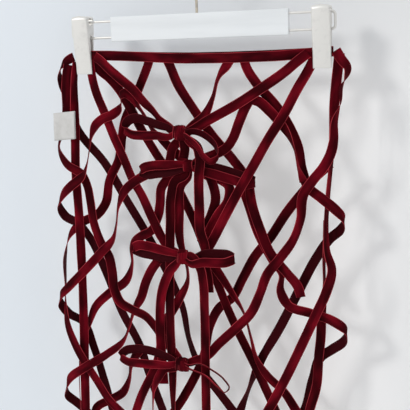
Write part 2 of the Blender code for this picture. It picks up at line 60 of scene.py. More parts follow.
# Each row is (across, drop, out, face).
RIBBONS = {
    # Waist and hem, each one length that closes in a ring
    "waist": (
        (-157, -2, 1, 0), (-155, -2, 3, 0), (-134, -2, 3, 0), (-98, -0.5, 5, 0), (-60, 2, 6, 0), (-22, 4.5, 6, 0),
        (20, 5.5, 6, 0), (69, 5.5, 6, 0), (99, 5, 5, 0), (134, 3, 3, 0), (155, 2, 3, 0), (158, 2, 0, 90),
        (155, 2, -3, 180), (134, 3, -3, 180), (80, 4, -6, 180), (0, 4, -6, 180), (-80, 1, -6, 180),
        (-134, -2, -3, 180), (-155, -2, -3, 180), (-157, -2, -1, 180)),
    "hem": (
        (-190, 520, 2, -80), (-185, 520, 7, -45), (-165, 520, 10, -10), (-90, 521, 12, 0), (0, 522, 12, 0),
        (90, 521, 12, 0), (165, 520, 10, 10), (185, 520, 7, 45), (190, 520, 0, 90), (185, 520, -7, 135),
        (165, 520, -10, 170), (90, 521, -12, 180), (0, 522, -12, 180), (-90, 521, -12, 180), (-165, 520, -10, 190),
        (-185, 520, -7, 225), (-190, 520, -2, 260)),
    # Net ribbons from the waist
    "net_left_outer": (
        (-162, -1, 0, 0), (-170, 2, -1, -20), (-179, 8, -2, -55), (-185, 19, -3, -80), (-183, 31, -6, -130),
        (-178, 47, -9, -165), (-171, 85, -13, -180), (-134, 133, -15.6, -180), (-109, 175, -15.2, -180),
        (-79, 225, -14.5, -180), (-50, 281, -14.5, -185), (-38, 312, -15.5, -200), (-31.5, 354, -17, -212),
        (-17, 391, -16.6, -195), (6, 420, -16.5, -180), (48, 470, -15.5, -180), (84, 505, -14.2, -180),
        (100, 519, -13.6, -180)),
    "net_left_edge": (
        (-160, 5, 0, 78), (-163, 30, 1, 72), (-164, 60, 2, 50), (-165, 98, 3, 15), (-167, 140, 3, 10),
        (-166, 188, 3, 10), (-166, 233, 3, 20), (-166.5, 279, 3, 50), (-168, 332, 3, 35), (-171, 413, 4, 20),
        (-172, 460, 5, 10), (-172, 519, 5.5, 10)),
    "net_left_long": (
        (-134, 1, -0.4, 0), (-130, 13, -1, 10), (-118, 26, -6, 45), (-105, 44, -10, 45), (-95, 61, -10, 20),
        (-81, 88, -10, 0), (-66, 113, -10, 0), (-42, 150, -10, 0), (-14, 206, -10, 0), (5, 260, -10, 0),
        (27, 317, -10, 0), (58, 382, -10, 0), (80, 431, -10, 0), (120, 519, -10.4, 0)),
    "net_waist_1": (
        (-62, 1, -4.2, 0), (-66, 11, -4.4, 0), (-80, 34, -12, 0), (-91, 54, -14, 0), (-103, 76, -14, 20),
        (-109, 98, -14, 40), (-114, 125, -13, 10), (-129, 153, -13, 0), (-136, 182, -13, 20), (-150, 198, -14, 0),
        (-170, 207, -14, 0), (-186, 222, -10, -40), (-193, 250, -4, -80), (-193, 287, 0, -70), (-194, 312, 1, -50),
        (-190, 337, 7, -20), (-176, 366, 12.5, 0), (-150, 408, 12.5, 0), (-134, 432, 13, 0), (-104, 460, 13, 0),
        (-74, 519, 10.4, 0)),
    "net_waist_2": (
        (-39, 3, 4.2, 0), (-35, 11, 4.5, 0), (-24, 34, 8, 10), (-9, 58, 8, 0), (20, 98, 8, 0), (41, 122, 8, 0),
        (58, 146, 8, 0), (63, 175, 8, 12), (73, 205, 9, 20), (84.5, 232, 9, 20), (103.5, 254, 9, 0),
        (116, 271, 7, 10), (119, 283, 5.8, 0)),
    "net_waist_3": (
        (42, 4, 4.2, 0), (37, 12, 4.2, 0), (27, 29, 12, -50), (21, 49, 13, -50), (11, 69, 14, -20), (-6, 84, 15, 0),
        (-20, 98, 16, 0), (-30, 108, 17, 0), (-34, 120, 15.5, 0), (-37, 129, 14.6, 0)),
    "net_waist_4": (
        (56, 4, 4.2, 0), (58, 13, 4.6, 0), (72.5, 36, 8, 0), (93.5, 60, 8, 0), (107.5, 82, 6.5, 20),
        (118, 107, 5, 30), (123, 135, 5, 30), (129, 152, 7, 0), (146, 165, 10.5, 10), (160, 177, 8, 30),
        (169, 191, 0, 90), (164, 203, -7, 150), (150, 216, -12, 180), (133, 241, -12, 180), (115, 275, -12, 180),
        (89, 326, -12, 180), (61, 376, -12.6, 180), (56, 387, -14.4, 215), (52, 396, -15, 240), (46, 411, -15, 258),
        (39, 428, -14, 240), (31, 450, -12, 190), (14, 500, -10.6, 180), (8, 519, -10.4, 180)),
    "net_right_edge": (
        (164.9, 4, -1.7, 10), (160.5, 44, 0, 10), (158, 79, 2, 50), (155, 128, 2, 75), (151, 165, 2, 75),
        (149, 200, 3, 75), (151, 228, 8, 60), (157, 246, 12, 40), (151, 272, 14, 0), (139, 299, 14, 0),
        (118, 345, 14, 0), (102, 379, 14, 0), (77, 427, 14, 0), (50, 475, 13, 0), (33, 501, 10.6, 0),
        (24, 519, 10.4, 0)),
    "net_right_inner": (
        (147, 192, -4, 75), (146, 212, -4, 80), (145, 238, -3, 85), (145, 275, -2, 80), (142, 300, -2, 40),
        (140, 335, -2, 10), (137.5, 356, -2, 0), (134, 395, -2, 0), (127, 420, -2, 0), (114, 468, -5, 0),
        (96, 519, -7, 0)),
    # Net ribbons that join lower down
    "net_left_low": (
        (-57, 137, 15.6, 0), (-71, 143, 15.2, 0), (-83, 150, 15.2, 0), (-95, 160, 15, -10), (-105, 178, 14, -50),
        (-110, 204, 14, -58), (-115, 221, 14, -45), (-132, 239, 14, 0), (-155, 262, 14, 0), (-183, 288, 12, -20),
        (-199, 303, 5, -60), (-203, 315, -3, -110), (-197, 328, -9, -150), (-177, 340, -12, -180),
        (-163, 375, -12, -180), (-152, 414, -12, -180), (-144, 446, -12, -180), (-126, 519, -9.6, -180)),
    "net_left_hem": (
        (-56, 246, 14, 0), (-64.5, 257, 14, 10), (-73.5, 273, 13, 15), (-83.5, 296, 9, 5), (-94, 312, 7.4, -46),
        (-101.5, 334, 8.5, -55), (-107, 350, 13, -54), (-133, 372, 14, -42), (-166, 393, 16, 0), (-189, 410, 11, -30),
        (-199, 425, 3, -70), (-203, 440, -4, -100), (-193, 453, -11, -150), (-170, 474, -12.5, -180),
        (-154, 505, -8.4, -180), (-148, 519, -8.2, -180)),
    "net_left_lowest": (
        (-92, 366, -6.8, 0), (-101, 377, -6.8, -5), (-109, 390, -7.5, -40), (-113, 410, -8, -48),
        (-123, 430, -8, -15), (-143, 443, -8, 0), (-162, 455, -8, 0), (-168, 482, -7, 0), (-169, 519, -6, 0)),
    "net_right_loop": (
        (50, 152, 4, 10), (58, 176, 4, 15), (70, 212, 4, 20), (84, 238, 4, 20), (96, 257, 5, 70), (94.5, 276, 6, 50),
        (104, 293, 8, 0), (131, 301, 8, 0), (156, 309, 6, 30), (171, 323, 0, 90), (167, 336, -6, 140),
        (152, 349, -10, 170), (138, 360, -11, 180), (128, 388, -13, 180), (117, 430, -13, 180), (86, 480, -12, 180),
        (68, 505, -10.5, 180), (58, 519, -10.4, 180)),
    "net_back_cross": (
        (152, 128, -9, 0), (133, 145, -12.5, 0), (122, 158, -12.5, 0), (98, 188, -12.5, 0), (78, 218, -12.5, 0),
        (59, 241, -12.5, 0), (43, 269, -12.5, 0), (29, 294, -12.5, 0), (11, 309, -12.5, 0), (-1, 331, -12.5, 0),
        (-11, 372, -12.5, 0), (-38, 426, -12.5, 0), (-70, 475, -12.5, 0), (-92, 519, -10.4, 0)),
    "net_right_thin": (
        (8, 254, -7, 10), (27, 282, -7, -25), (45, 310, -5, -58), (54, 341, -3.8, -55), (59.5, 366, -4.6, -42),
        (73, 389, -7, -10), (93, 407, -7, 0), (108, 430, -7, 10), (134, 470, -8, 20), (152, 519, -8.4, 0)),
    # Ties, a left and a right one for each bow
    "tie_1_left": (
        (-131, -1, 5, 0), (-122, 4, 9, 0), (-109, 13, 16, 0), (-93, 25, 20, 0), (-75, 40, 20, 0),
        (-63, 53.5, 20, -10), (-52, 64, 19.5, -35), (-43, 75, 19, -35), (-35, 82, 19, -10), (-28, 87, 20, 10)),
    "tie_1_right": (
        (131, 3, 4.8, 0), (121, 11, 11, 0), (107, 23, 18, 0), (82, 39.5, 21, 0), (50, 58.5, 21, 0), (16, 76, 22, 0),
        (-5, 87, 24, 0)),
    "tie_2_left": (
        (-23, 119, 12, 10), (-36, 107, 13, 0), (-47, 96, 14, -30), (-56, 86, 15, -50), (-65, 70.5, 14.4, -55),
        (-73, 58.5, 15, -45), (-81, 47, 15, 10), (-89, 43, 17, -10), (-94, 47, 17, -50), (-94, 54, 15, -70),
        (-98, 62, 14, -30), (-108, 69, 15, 0), (-121, 74, 15, 0), (-130, 81, 15, 0), (-136, 92, 15, -40),
        (-140, 110, 15, -58), (-145, 131, 16, -58), (-150, 142, 16, -40), (-158, 149, 16, -10), (-168, 156, 15, 0),
        (-184, 169, 9, -40), (-195, 184, 0, -90), (-191, 199, -7, -140), (-175, 208, -9, -170), (-159, 226, -9, -180),
        (-142, 263, -10, -180), (-119, 322, -10, -180), (-96, 365, -9, -180), (-85, 401, -9, -180),
        (-67, 453, -9, -180), (-44, 519, -10.2, -180)),
    "tie_2_right": (
        (6, 121, 13, 10), (20, 116, 11.5, 10), (35, 108, 12, 0), (43, 98, 13, 10), (52, 78, 14, 10), (61, 60, 15, 10),
        (67, 53, 17, 0), (74, 54, 17, 20), (88, 66, 13.5, 10), (98, 77, 13.5, -5), (109.5, 93, 14.5, -45),
        (116.5, 110, 14.8, -66), (121, 130, 14.8, -60), (126, 146, 12.8, -15)),
    "tie_3_left": (
        (-140, 2, 1.5, 0), (-139, 13, 1.5, 0), (-137, 24, 3, 0), (-130, 41, 9, 0), (-118, 67, 12.5, 0),
        (-108, 94, 12.5, 0), (-96, 121, 12.5, 0), (-85, 148, 12.5, 0), (-75, 165, 12.5, 0), (-62, 192, 14, 10),
        (-49, 217, 15.5, 10), (-40.5, 229, 16.5, 0)),
    "tie_3_right": (
        (139, 5, 0.8, 0), (135.5, 12, 0.8, 0), (130.5, 22, 3, 0), (120.5, 42, 15, 0), (107, 68, 20, 0),
        (87, 98, 20, 0), (69, 128, 20, 0), (51, 157, 20, 0), (31, 191, 18, 10), (14, 220, 14.6, 10),
        (6, 233, 14.4, 0)),
    "tie_4_left": (
        (-168, 8, 4, 20), (-171, 20, 4, 15), (-173, 34, 4, 15), (-175, 63, 3, 0), (-182, 90, 3, -40),
        (-187, 109, 6, -50), (-176, 130, 8, -10), (-156, 143, 8, 10), (-149, 158, 8, 0), (-146, 174, 9, 0),
        (-142.5, 203, 9.5, 0), (-133.5, 229, 9.5, 10), (-123.5, 246, 10, 30), (-120.5, 264, 10, 30),
        (-118, 287, 11, 30), (-110, 302, 13, 20), (-95.5, 310, 13.2, 0), (-75.5, 318.5, 13.2, 0), (-63, 332, 13.4, 0),
        (-53, 346, 13.4, 5), (-43, 358, 13.6, 10)),
    "tie_4_right": (
        (161.5, 1, 2, 10), (167, 10, 2, 30), (174.5, 21, 3, 50), (173, 31, 7, 90), (168.5, 42, 9, 120),
        (168.5, 56, 11, 110), (162, 79, 15, 60), (161.5, 98, 17, 40), (158, 113, 17, 10), (150, 128, 17, 0),
        (137, 144, 17, 0), (126, 161, 17, 10), (123, 187, 17, 40), (114, 212, 17, 40), (97, 236, 17, 10),
        (82, 255, 17, 20), (73, 278, 17, 30), (61, 303, 17, 0), (42, 323, 17, 0), (21, 343, 18, 10),
        (2, 362, 19.5, 15)),
    # Tails of the bows
    "tail_1_short": (
        (-14, 99, 25, 10), (-12, 107, 24, 30), (-15, 119, 21.5, 20)),
    "tail_1_long": (
        (-3, 100, 26, 20), (4, 105, 27, 10), (7.5, 116, 28, 15), (6, 140, 29, 18), (5, 180, 28, 18), (4, 205, 25, 15),
        (7, 224, 19, 0), (6, 245, 18, 5), (10, 262, 20, 5), (11, 280, 21, 10)),
    "tail_2_a": (
        (-24, 140, 13.2, 0), (-38, 145, 13, 0), (-48, 155, 11, 10), (-52.5, 178, 9, 15), (-58, 199, 8.5, 50),
        (-67, 211, 6, 30), (-82, 219, 1, 10), (-95, 229, -5, -10), (-101, 240, -8, -40), (-101, 256, -8, -50),
        (-109, 278, -7.2, -15), (-134, 297, -7.2, 0), (-156, 318, -7, -10), (-165, 339, -5, -35),
        (-176, 362, -4, -55), (-181, 392, -3, -58), (-183, 450, -2, -58), (-182, 495, -1, -20), (-180, 519, -1, 0)),
    "tail_2_b": (
        (-15, 139, 17.6, 0), (-28, 147, 18.5, 5), (-33, 165, 20.4, 15), (-35, 195, 20.6, 15), (-37, 224, 20.4, 10),
        (-39, 250, 18, 0), (-41, 290, 18, 0), (-42, 330, 18, 0), (-42.5, 380, 15.6, 0), (-43.5, 425, 16, -38),
        (-43, 484, 16, -30)),
    "tail_2_c": (
        (-13, 141, 15, 0), (-22, 152, 15.2, 10), (-25, 180, 15.6, 12), (-25.5, 222, 15, -15), (-19, 247, 15, -48),
        (-18, 267, 14, -50), (-33, 296, 12, -10), (-50, 323, 10, 10), (-66, 380, 10, 0), (-89, 425, 10, 0),
        (-106, 470, 10, 0)),
    "tail_2_d": (
        (5, 134, 15, 10), (12, 139, 14.5, 10), (18, 152, 14, 10), (20, 168, 12.4, 15), (14, 186, 10.5, 25),
        (5, 204, 9.5, 20), (-1, 222, 9, 10)),
    "tail_2_e": (
        (10, 141, 10.6, 0), (24, 145, 10.4, 0), (36, 153, 10.4, 10), (36, 168, 12.4, 10), (22, 188, 13.5, 20),
        (10, 208, 12, 20), (3, 224, 11.5, 10)),
    "tail_3_left": (
        (-28, 247, 31, 0), (-33, 252, 31, 0), (-39, 261, 28, 10), (-46.5, 276, 24.5, 15), (-54, 320, 21, 18),
        (-55, 350, 19, 18), (-54, 402, 17.2, 12)),
    "tail_3_right": (
        (-7, 233, 33, 0), (-1, 237, 34, 0), (5, 248, 32, 0), (7, 264, 30, 0), (7, 300, 28, 0), (7, 345, 30, 0),
        (6, 390, 30, 0), (4, 430, 26, 0), (3, 474, 22, 0)),
    "tail_4_left": (
        (-36, 377, 22.5, 0), (-50, 380, 22.5, 0), (-58, 391, 22.5, -15), (-66, 406, 21, -45), (-69, 428, 20, -60),
        (-70, 452, 19, -60), (-74, 478, 17, -50)),
}

# A bow's knot: (bow, across, drop, out, wide, high, deep).
KNOTS = (
    (1, -16, 89, 27, 17, 19, 10),
    (2, -9, 128, 21, 11, 15, 9),
    (3, -18, 236, 28, 15, 19, 10),
    (4, -24, 370, 28, 17, 19, 10),
)

# A bow's loops: the direction of the ribbon's width, then rows of (across, drop, out), the run in front first on the
# left and last on the right.
LOOPS = {
    "loop_1_left": ((0, -0.25, 0.97), (
        (-26, 93, 30), (-46, 92, 30), (-64, 92, 30), (-78, 90, 30), (-85, 84, 29), (-82, 76, 27), (-72, 72, 26),
        (-58, 75, 26), (-43, 80, 26), (-26, 85, 26))),
    "loop_1_right": ((0.3, -0.6, 0.74), (
        (-6, 87, 32), (6, 87, 34), (20, 93, 35), (30, 104, 35), (31, 115, 35), (24, 121, 35), (15, 115, 35),
        (8, 104, 36), (-5, 93, 36))),
    "loop_2_left": ((-0.06, 0.05, 1), (
        (-17, 126, 25), (-35, 127, 26), (-53, 128, 26), (-65, 131, 25), (-70, 135, 22.5), (-64, 139, 20.5),
        (-50, 138, 20), (-33, 136, 20), (-17, 132, 20))),
    "loop_2_right": ((0.1, 0, 1), (
        (0, 127, 19), (22, 131, 16), (45, 138, 12.8), (62, 144, 12.6), (69, 147, 14), (62, 149.5, 16.5),
        (45, 145, 18), (22, 138, 21), (0, 132, 24))),
    "loop_3_left": ((-0.06, 0.05, 1), (
        (-27, 231, 33), (-43, 227.5, 33.5), (-60, 224, 33), (-73, 223.5, 32), (-80.5, 228, 29.5), (-74, 233, 27),
        (-60, 236, 26), (-44, 238, 26), (-27, 239.5, 27))),
    "loop_3_right": ((0, -0.05, 1), (
        (-6, 237, 25), (10, 232, 25), (27, 231, 26), (40, 231.5, 27.5), (47, 234.5, 31), (40, 238, 36),
        (24, 239, 38), (11, 239, 39), (-4, 242, 39))),
    "loop_4_left": ((0, -0.05, 1), (
        (-35, 370, 33), (-58, 371.5, 33), (-80, 372, 33), (-97, 371, 32), (-105, 366, 30), (-100, 360, 26.5),
        (-88, 357, 25), (-70, 357, 25), (-52, 361, 25), (-35, 366, 27))),
    "loop_4_right": ((0.45, -0.85, 0.45), (
        (-13, 367, 34), (2, 363.5, 38), (18, 370, 38), (32, 380, 38), (38, 390, 38), (33, 396, 38), (23, 390, 38),
        (9, 378, 38), (-12, 373, 35))),
}

# Which knot a bow's piece runs into: the knot's number, and the end that goes in.
INTO_KNOT = {
    "tie_1_left": (1, "end"), "tie_1_right": (1, "end"), "tie_2_left": (2, "start"), "tie_2_right": (2, "start"),
    "tie_3_left": (3, "end"), "tie_4_left": (4, "end"), "tie_4_right": (4, "end"),
    "tail_1_short": (1, "start"), "tail_1_long": (1, "start"), "tail_2_a": (2, "start"), "tail_2_b": (2, "start"),
    "tail_2_c": (2, "start"), "tail_2_d": (2, "start"), "tail_2_e": (2, "start"), "tail_3_left": (3, "start"),
    "tail_3_right": (3, "start"), "tail_4_left": (4, "start"),
}

# How many mm a ribbon or a loop takes to gather as it runs into its knot, how steeply it does, the share of its width
# that is left, and how far inside the knot's side it ends.
GATHER_OVER = 13.0
LOOP_GATHER_OVER = 30.0
GATHER_POWER = 1.5
GATHERED_WIDTH = 0.62
LEAD_IN = 2.0

# A knot's ribbon: where its winding starts, in degrees from the front, how often it goes round, how it slants, how
# much tighter it starts than it ends, how far in its middle lies, and its sections.
KNOT_START = -50.0
KNOT_TURNS = 2.25
KNOT_TILT = 0.22
KNOT_TIGHTER = 0.16
KNOT_SKIN = 0.6
KNOT_SECTIONS = 110

# Painted light and shade for each ribbon, which scales its velvet's colour: 1 unless it is named here. Below 1 paints
# shade on ribbons in shadow or turned away from the light, and above 1 paints light.
PAINTED_LIGHT_BY_RIBBON = {
    "tail_2_b": 0.35, "net_left_long": 0.40, "net_left_outer": 0.3, "tail_2_d": 0.35, "tail_1_short": 0.30,
    "net_waist_3": 1.10, "net_back_cross": 0.55, "tie_4_left": 0.60, "net_right_inner": 0.5, "tail_1_long": 0.7,
    "tail_3_right": 0.7, "net_left_lowest": 0.7, "net_waist_2": 0.8, "waist": 0.7, "tie_2_left": 0.8, "knot_4": 0.5,
    "tail_3_left": 1.25, "tail_4_left": 1.3, "loop_2_right": 1.2, "tie_4_right": 1.2, "net_right_loop": 1.1,
}

# A ribbon's section, all the way round: share of the half width, and height from its middle in mm. The pile is on
# the upper side, and the side edges have most of it.
PILE_EDGE = 0.97
EDGE_NAP = 0.75
SECTION = (
    (-1.0, 0.0), (-PILE_EDGE, 0.34), (-0.84, 0.50), (-0.6, 0.54), (-0.3, 0.55), (0.0, 0.55), (0.3, 0.55), (0.6, 0.54),
    (0.84, 0.50), (PILE_EDGE, 0.34), (1.0, 0.0), (0.95, -0.30), (0.5, -0.36), (0.0, -0.36), (-0.5, -0.36),
    (-0.95, -0.30))

# What wanders as a ribbon runs: how much, over how many mm, and which noise it follows. Width is a share of itself,
# and the others are half millimetres that the section dips: both edges, one edge against the other, and a ripple.
WIDTH_WANDER = (0.025, 23, 0.5)
CURL_WANDER = (0.55, 37, 3.5)
LEAN_WANDER = (0.45, 29, 7.5)
RIPPLE_WANDER = (0.16, 9, 9.5)

# How much the edges curl along a ribbon, and the more where it is gathered, and the folds along it there, in a loop
# and in a knot: their depth and how many half turns of a wave lie between its middle and its edge.
EDGE_CURL = 0.35
GATHER_CURL = 2.2
GATHER_FOLDS = 0.9
LOOP_FOLDS = 0.15
KNOT_FOLDS = 1.6
FOLD_DEEP = 0.35
FOLD_WAVES = 2.5

# Each ribbon takes its streaks from another stretch of the finish, so many metres on.
FINISH_SHIFT = 0.37


# The label

LABEL_TOP, LABEL_HIGH, LABEL_SLOPE, LABEL_THICK = 64.0, 34.0, -0.08, 0.8
LABEL_ROOT = -159.0
# Its fold as seen from above: (across, out).
LABEL_FOLD = ((-159, 12.8), (-170, 13.1), (-180, 12.9), (-187, 12.6), (-188, 11.7), (-187, 10.8), (-180, 10.6),
              (-159, 10.6))
LABEL_EVERY = 0.8
LABEL_ROWS = 12
LABEL_BOW = 0.35
LABEL_WAVE, LABEL_WAVE_OVER = 0.15, 9.0


# The hanger

WIRE_R = 1.5
BAR_Z = -95.0
BAR_HIGH = 29.0
HOOK_R = 20.0
HOOK_OPEN_DEG = 60.0
HOOK_NECK = 6.0
RAIL_HALF, RAIL_END, RAIL_BEND = 9.5, 162.5, 4.0

CLIP_X = 146.5
CLIP_WIDE, JAW_WIDE = 20.0, 17.0
PLATE_THICK, PLATE_CORNER, PLATE_DISH, PLATE_SOFT = 0.9, 1.6, 0.12, 0.25
# A plate's top is rounded: its corners are lower by the crown, above this height.
PLATE_CROWN, PLATE_CROWN_FROM = 2.0, 13.5
PIN_R, PIN_SHORT = 1.5, 0.3
SPRING_R, SPRING_WIRE_R, SPRING_HALF, SPRING_TURNS, SPRING_STEPS = 3.6, 0.6, 3.6, 3, 24

# A clip's front jaw, from its top to its bottom: height from the bar's middle, face in front of the middle plane, and
# how far back its side ears reach on a front and on a back jaw. The back jaw is the same turned round.
JAW_ROWS = (
    (15.0, 8.0, 3.0, 2.5),
    (17.0, 10.0, 3.0, 2.5),
    (14.0, 11.6, 4.0, 3.0),
    (7.0, 11.0, 6.0, 4.5),
    (4.0, 10.7, 13.5, 13.5),
    (-4.0, 9.9, 12.7, 12.7),
    (-8.0, 9.4, 5.2, 4.5),
    (-20.0, 7.9, 3.6, 2.6),
    (-36.0, 5.8, 1.8, 1.4),
    (-52.0, 3.9, 0.6, 0.6),
)


# Finishes' colours

VELVET_DARK = (0.012, 0.0002, 0.0010, 1.0)
VELVET_MID = (0.112, 0.0014, 0.0066, 1.0)
# The brushed colour is partly the brushed nap's own tone and partly a painted highlight.
VELVET_BRUSHED_HIGHLIGHT = (0.340, 0.0080, 0.0200, 1.0)
# The edge colour is a painted sheen, the glow of velvet's edges in grazing light.
VELVET_EDGE_SHEEN = (0.640, 0.0600, 0.0780, 1.0)
VELVET_BACK = (0.036, 0.0007, 0.0028, 1.0)
VELVET_SHEEN = (0.90, 0.02, 0.045, 1.0)
PLASTIC_CLEAN, PLASTIC_HANDLED = (0.83, 0.85, 0.86, 1.0), (0.76, 0.78, 0.79, 1.0)
NICKEL_BRIGHT, NICKEL_DULL = (0.81, 0.79, 0.75, 1.0), (0.75, 0.73, 0.695, 1.0)
BRASS_BRIGHT, BRASS_DULL = (0.60, 0.53, 0.42, 1.0), (0.45, 0.41, 0.35, 1.0)
LABEL_CLEAN, LABEL_SOILED = (0.68, 0.665, 0.645, 1.0), (0.60, 0.585, 0.56, 1.0)
LABEL_GAPS = (0.42, 0.40, 0.375, 1.0)


# The stage

WALL_Y, WALL_HALF, WALL_TOP = 0.065, 3.0, 1.5
FLOOR_Z, FLOOR_HALF = -1.05, 4.0
WALL_LEFT, WALL_RIGHT = (0.79, 0.83, 0.87, 1.0), (0.81, 0.81, 0.81, 1.0)
FLOOR_COLOUR = (0.78, 0.78, 0.77, 1.0)
# The light that a room would bounce onto the wall behind the skirt.
NO_BOUNCE, BOUNCE = (0.0, 0.0, 0.0, 1.0), (0.215, 0.200, 0.188, 1.0)
ROOM_COLOUR, ROOM_STRENGTH = (0.93, 0.96, 1.0, 1.0), 0.73
LIT_AT = (0, 0, -0.35)

CAMERA_AT = (0.3585, -0.9795, -0.1223)
CAMERA_AZIMUTH, CAMERA_DOWN, CAMERA_ROLL, CAMERA_LENS = 20.0, 9.95, -1.96, 77.8
CAMERA_NEAR = 0.01


# Materials

class Value:
    """A socket of a material's node. Sums on it add Math nodes."""

    def __init__(self, finish, socket):
        self.finish = finish
        self.socket = socket

    def math(self, operation, *values):
        return self.finish.node("Math", {"operation": operation}, dict(enumerate(values)))

    def __add__(self, other):
        return self.math("ADD", self, other)

    __radd__ = __add__

    def __rsub__(self, other):
        return self.math("SUBTRACT", other, self)

    def __mul__(self, other):
        return self.math("MULTIPLY", self, other)

    __rmul__ = __mul__

    def between(self, low, high):
        """0 below low, 1 above high, and smooth between."""
        return self.finish.node("MapRange", {"interpolation_type": "SMOOTHSTEP"},
                                {"Value": self, "From Min": low, "From Max": high})


class Finish:
    """A material, its main shader and the nodes that feed it."""

    def __init__(self, name, constants):
        self.material = bpy.data.materials.new(name)
        self.material.use_nodes = True
        self.tree = self.material.node_tree
        self.shader = self.tree.nodes["Principled BSDF"]
        for socket, value in constants.items():
            self.shader.inputs[socket].default_value = value

    def node(self, kind, settings, inputs, output=0):
        """Adds a node with its settings, then the values or links of its sockets."""
        made = self.tree.nodes.new("ShaderNode" + kind)
        for name, value in settings.items():
            setattr(made, name, value)
        for name, value in inputs.items():
            if isinstance(value, Value):
                self.tree.links.new(value.socket, made.inputs[name])
            else:
                made.inputs[name].default_value = value
        return Value(self, made.outputs[output])

    def feed(self, socket, value):
        """Links a value to a socket of the main shader."""
        self.tree.links.new(value.socket, self.shader.inputs[socket])

    def blend(self, mask, first, second):
        """The first colour where the mask is 0 and the second where it is 1."""
        factor, first_in, second_in, colour_out = 0, 6, 7, 2
        return self.node("Mix", {"data_type": "RGBA"}, {factor: mask, first_in: first, second_in: second},
                         output=colour_out)

    def place(self):
        """The place on the object, in metres."""
        return self.node("TexCoord", {}, {}, output="Object")

    def drawn(self, attribute):
        """A value that a piece's points carry."""
        return self.node("Attribute", {"attribute_name": attribute}, {}, output="Fac")

    def stretched(self, vector, scale):
        return self.node("Mapping", {}, {"Vector": vector, "Scale": scale})

    def clouds(self, vector, scale, detail=2.0, roughness=0.5):
        return self.node("TexNoise", {}, {"Vector": vector, "Scale": scale, "Detail": detail, "Roughness": roughness})

    def threads(self, direction, vector, scale):
        return self.node("TexWave", {"bands_direction": direction},
                         {"Vector": vector, "Scale": scale, "Distortion": 0.6})

    def bump(self, height, strength, distance):
        self.feed("Normal", self.node("Bump", {}, {"Height": height, "Strength": strength, "Distance": distance}))


def velvet_finish():
    """Wine-red velvet ribbon: dark upright pile, brushed patches and streaks that also paint a highlight, a painted
    sheen on the edges, painted light and shade for each ribbon, and a plain back.
    """
    velvet = Finish("wine_velvet", {
        "Roughness": 0.85, "Specular IOR Level": 0.05, "Sheen Weight": 0.18, "Sheen Roughness": 0.28,
        "Sheen Tint": VELVET_SHEEN})
    along = velvet.node("UVMap", {"uv_map": "ribbon"}, {})
    nap, edge, painted_light = (velvet.drawn(attribute) for attribute in ("nap", "edge", "painted_light"))
    broad = velvet.clouds(velvet.stretched(along, (24.0, 75.0, 1.0)), 1.0, 1.5, 0.5)
    streaks = velvet.clouds(velvet.stretched(along, (60.0, 1100.0, 1.0)), 1.0, 2.0, 0.6)
    sides = velvet.clouds(velvet.stretched(along, (22.0, 190.0, 1.0)), 1.0, 1.0, 0.5)
    pile = velvet.clouds(velvet.place(), 2600.0, 2.0, 0.6)
    # The pile's own dark and mid tones, scaled by each ribbon's painted light and shade.
    pile_tone_and_painted_light = painted_light * (0.12 + 0.73 * broad.between(0.32, 0.66) + 0.15 * streaks)
    # Brushed patches and streaks, which also paint a highlight on the ribbons, scaled by each ribbon's painted light.
    brushed_highlight = (0.5 * streaks.between(0.35, 0.75) + 0.5 * pile) * broad.between(0.46, 0.78) * painted_light
    # A painted sheen along the ribbons' side edges.
    painted_edge_sheen = edge.between(0.85, 0.96) * (0.35 + 0.65 * sides.between(0.36, 0.60)) * (
        0.6 + 0.4 * streaks.between(0.3, 0.6))
    colour = velvet.blend(pile_tone_and_painted_light, VELVET_DARK, VELVET_MID)
    colour = velvet.blend(brushed_highlight * 0.75, colour, VELVET_BRUSHED_HIGHLIGHT)
    colour = velvet.blend(painted_edge_sheen * 0.8, colour, VELVET_EDGE_SHEEN)
    velvet.feed("Base Color", velvet.blend(nap, VELVET_BACK, colour))
    velvet.feed("Roughness", 0.62 + 0.28 * nap)
    velvet.bump(0.7 * pile + 0.3 * streaks, 0.65, 0.0006)
    return velvet.material


def plastic_finish():
    """Satin white plastic with a fine moulded grain and faint handling marks."""
    plastic = Finish("satin_white_plastic", {
        "Specular IOR Level": 0.45, "Coat Weight": 0.08, "Coat Roughness": 0.35})
    spot = plastic.place()
    marks = plastic.clouds(plastic.stretched(spot, (6.0, 30.0, 60.0)), 1.0, 3.0)
    grain = plastic.clouds(spot, 1800.0)
    plastic.feed("Base Color", plastic.blend(marks.between(0.35, 0.7), PLASTIC_CLEAN, PLASTIC_HANDLED))
    plastic.feed("Roughness", 0.34 + 0.12 * marks)
    plastic.bump(grain, 0.12, 0.0002)
    return plastic.material


def nickel_finish():
    """Warm satin nickel plate, faintly brushed lengthwise, with a few dull spots."""
    nickel = Finish("satin_nickel", {"Metallic": 0.45, "Specular IOR Level": 0.5})
    spot = nickel.place()
    brushed = nickel.clouds(nickel.stretched(spot, (2600.0, 2600.0, 60.0)), 1.0)
    dull = nickel.clouds(spot, 160.0)
    nickel.feed("Base Color", nickel.blend(dull.between(0.45, 0.8), NICKEL_BRIGHT, NICKEL_DULL))
    nickel.feed("Roughness", 0.34 + 0.08 * brushed + 0.06 * dull)
    nickel.bump(brushed, 0.04, 0.0001)
    return nickel.material


def brass_finish():
    """The hook's plating: greyer and a little brassy."""
    plated = Finish("hook_plating", {"Metallic": 0.9, "Specular IOR Level": 0.5})
    dull = plated.clouds(plated.place(), 300.0, 3.0)
    plated.feed("Base Color", plated.blend(dull.between(0.3, 0.7), BRASS_BRIGHT, BRASS_DULL))
    plated.feed("Roughness", 0.28 + 0.15 * dull)
    plated.bump(dull, 0.05, 0.0001)
    return plated.material


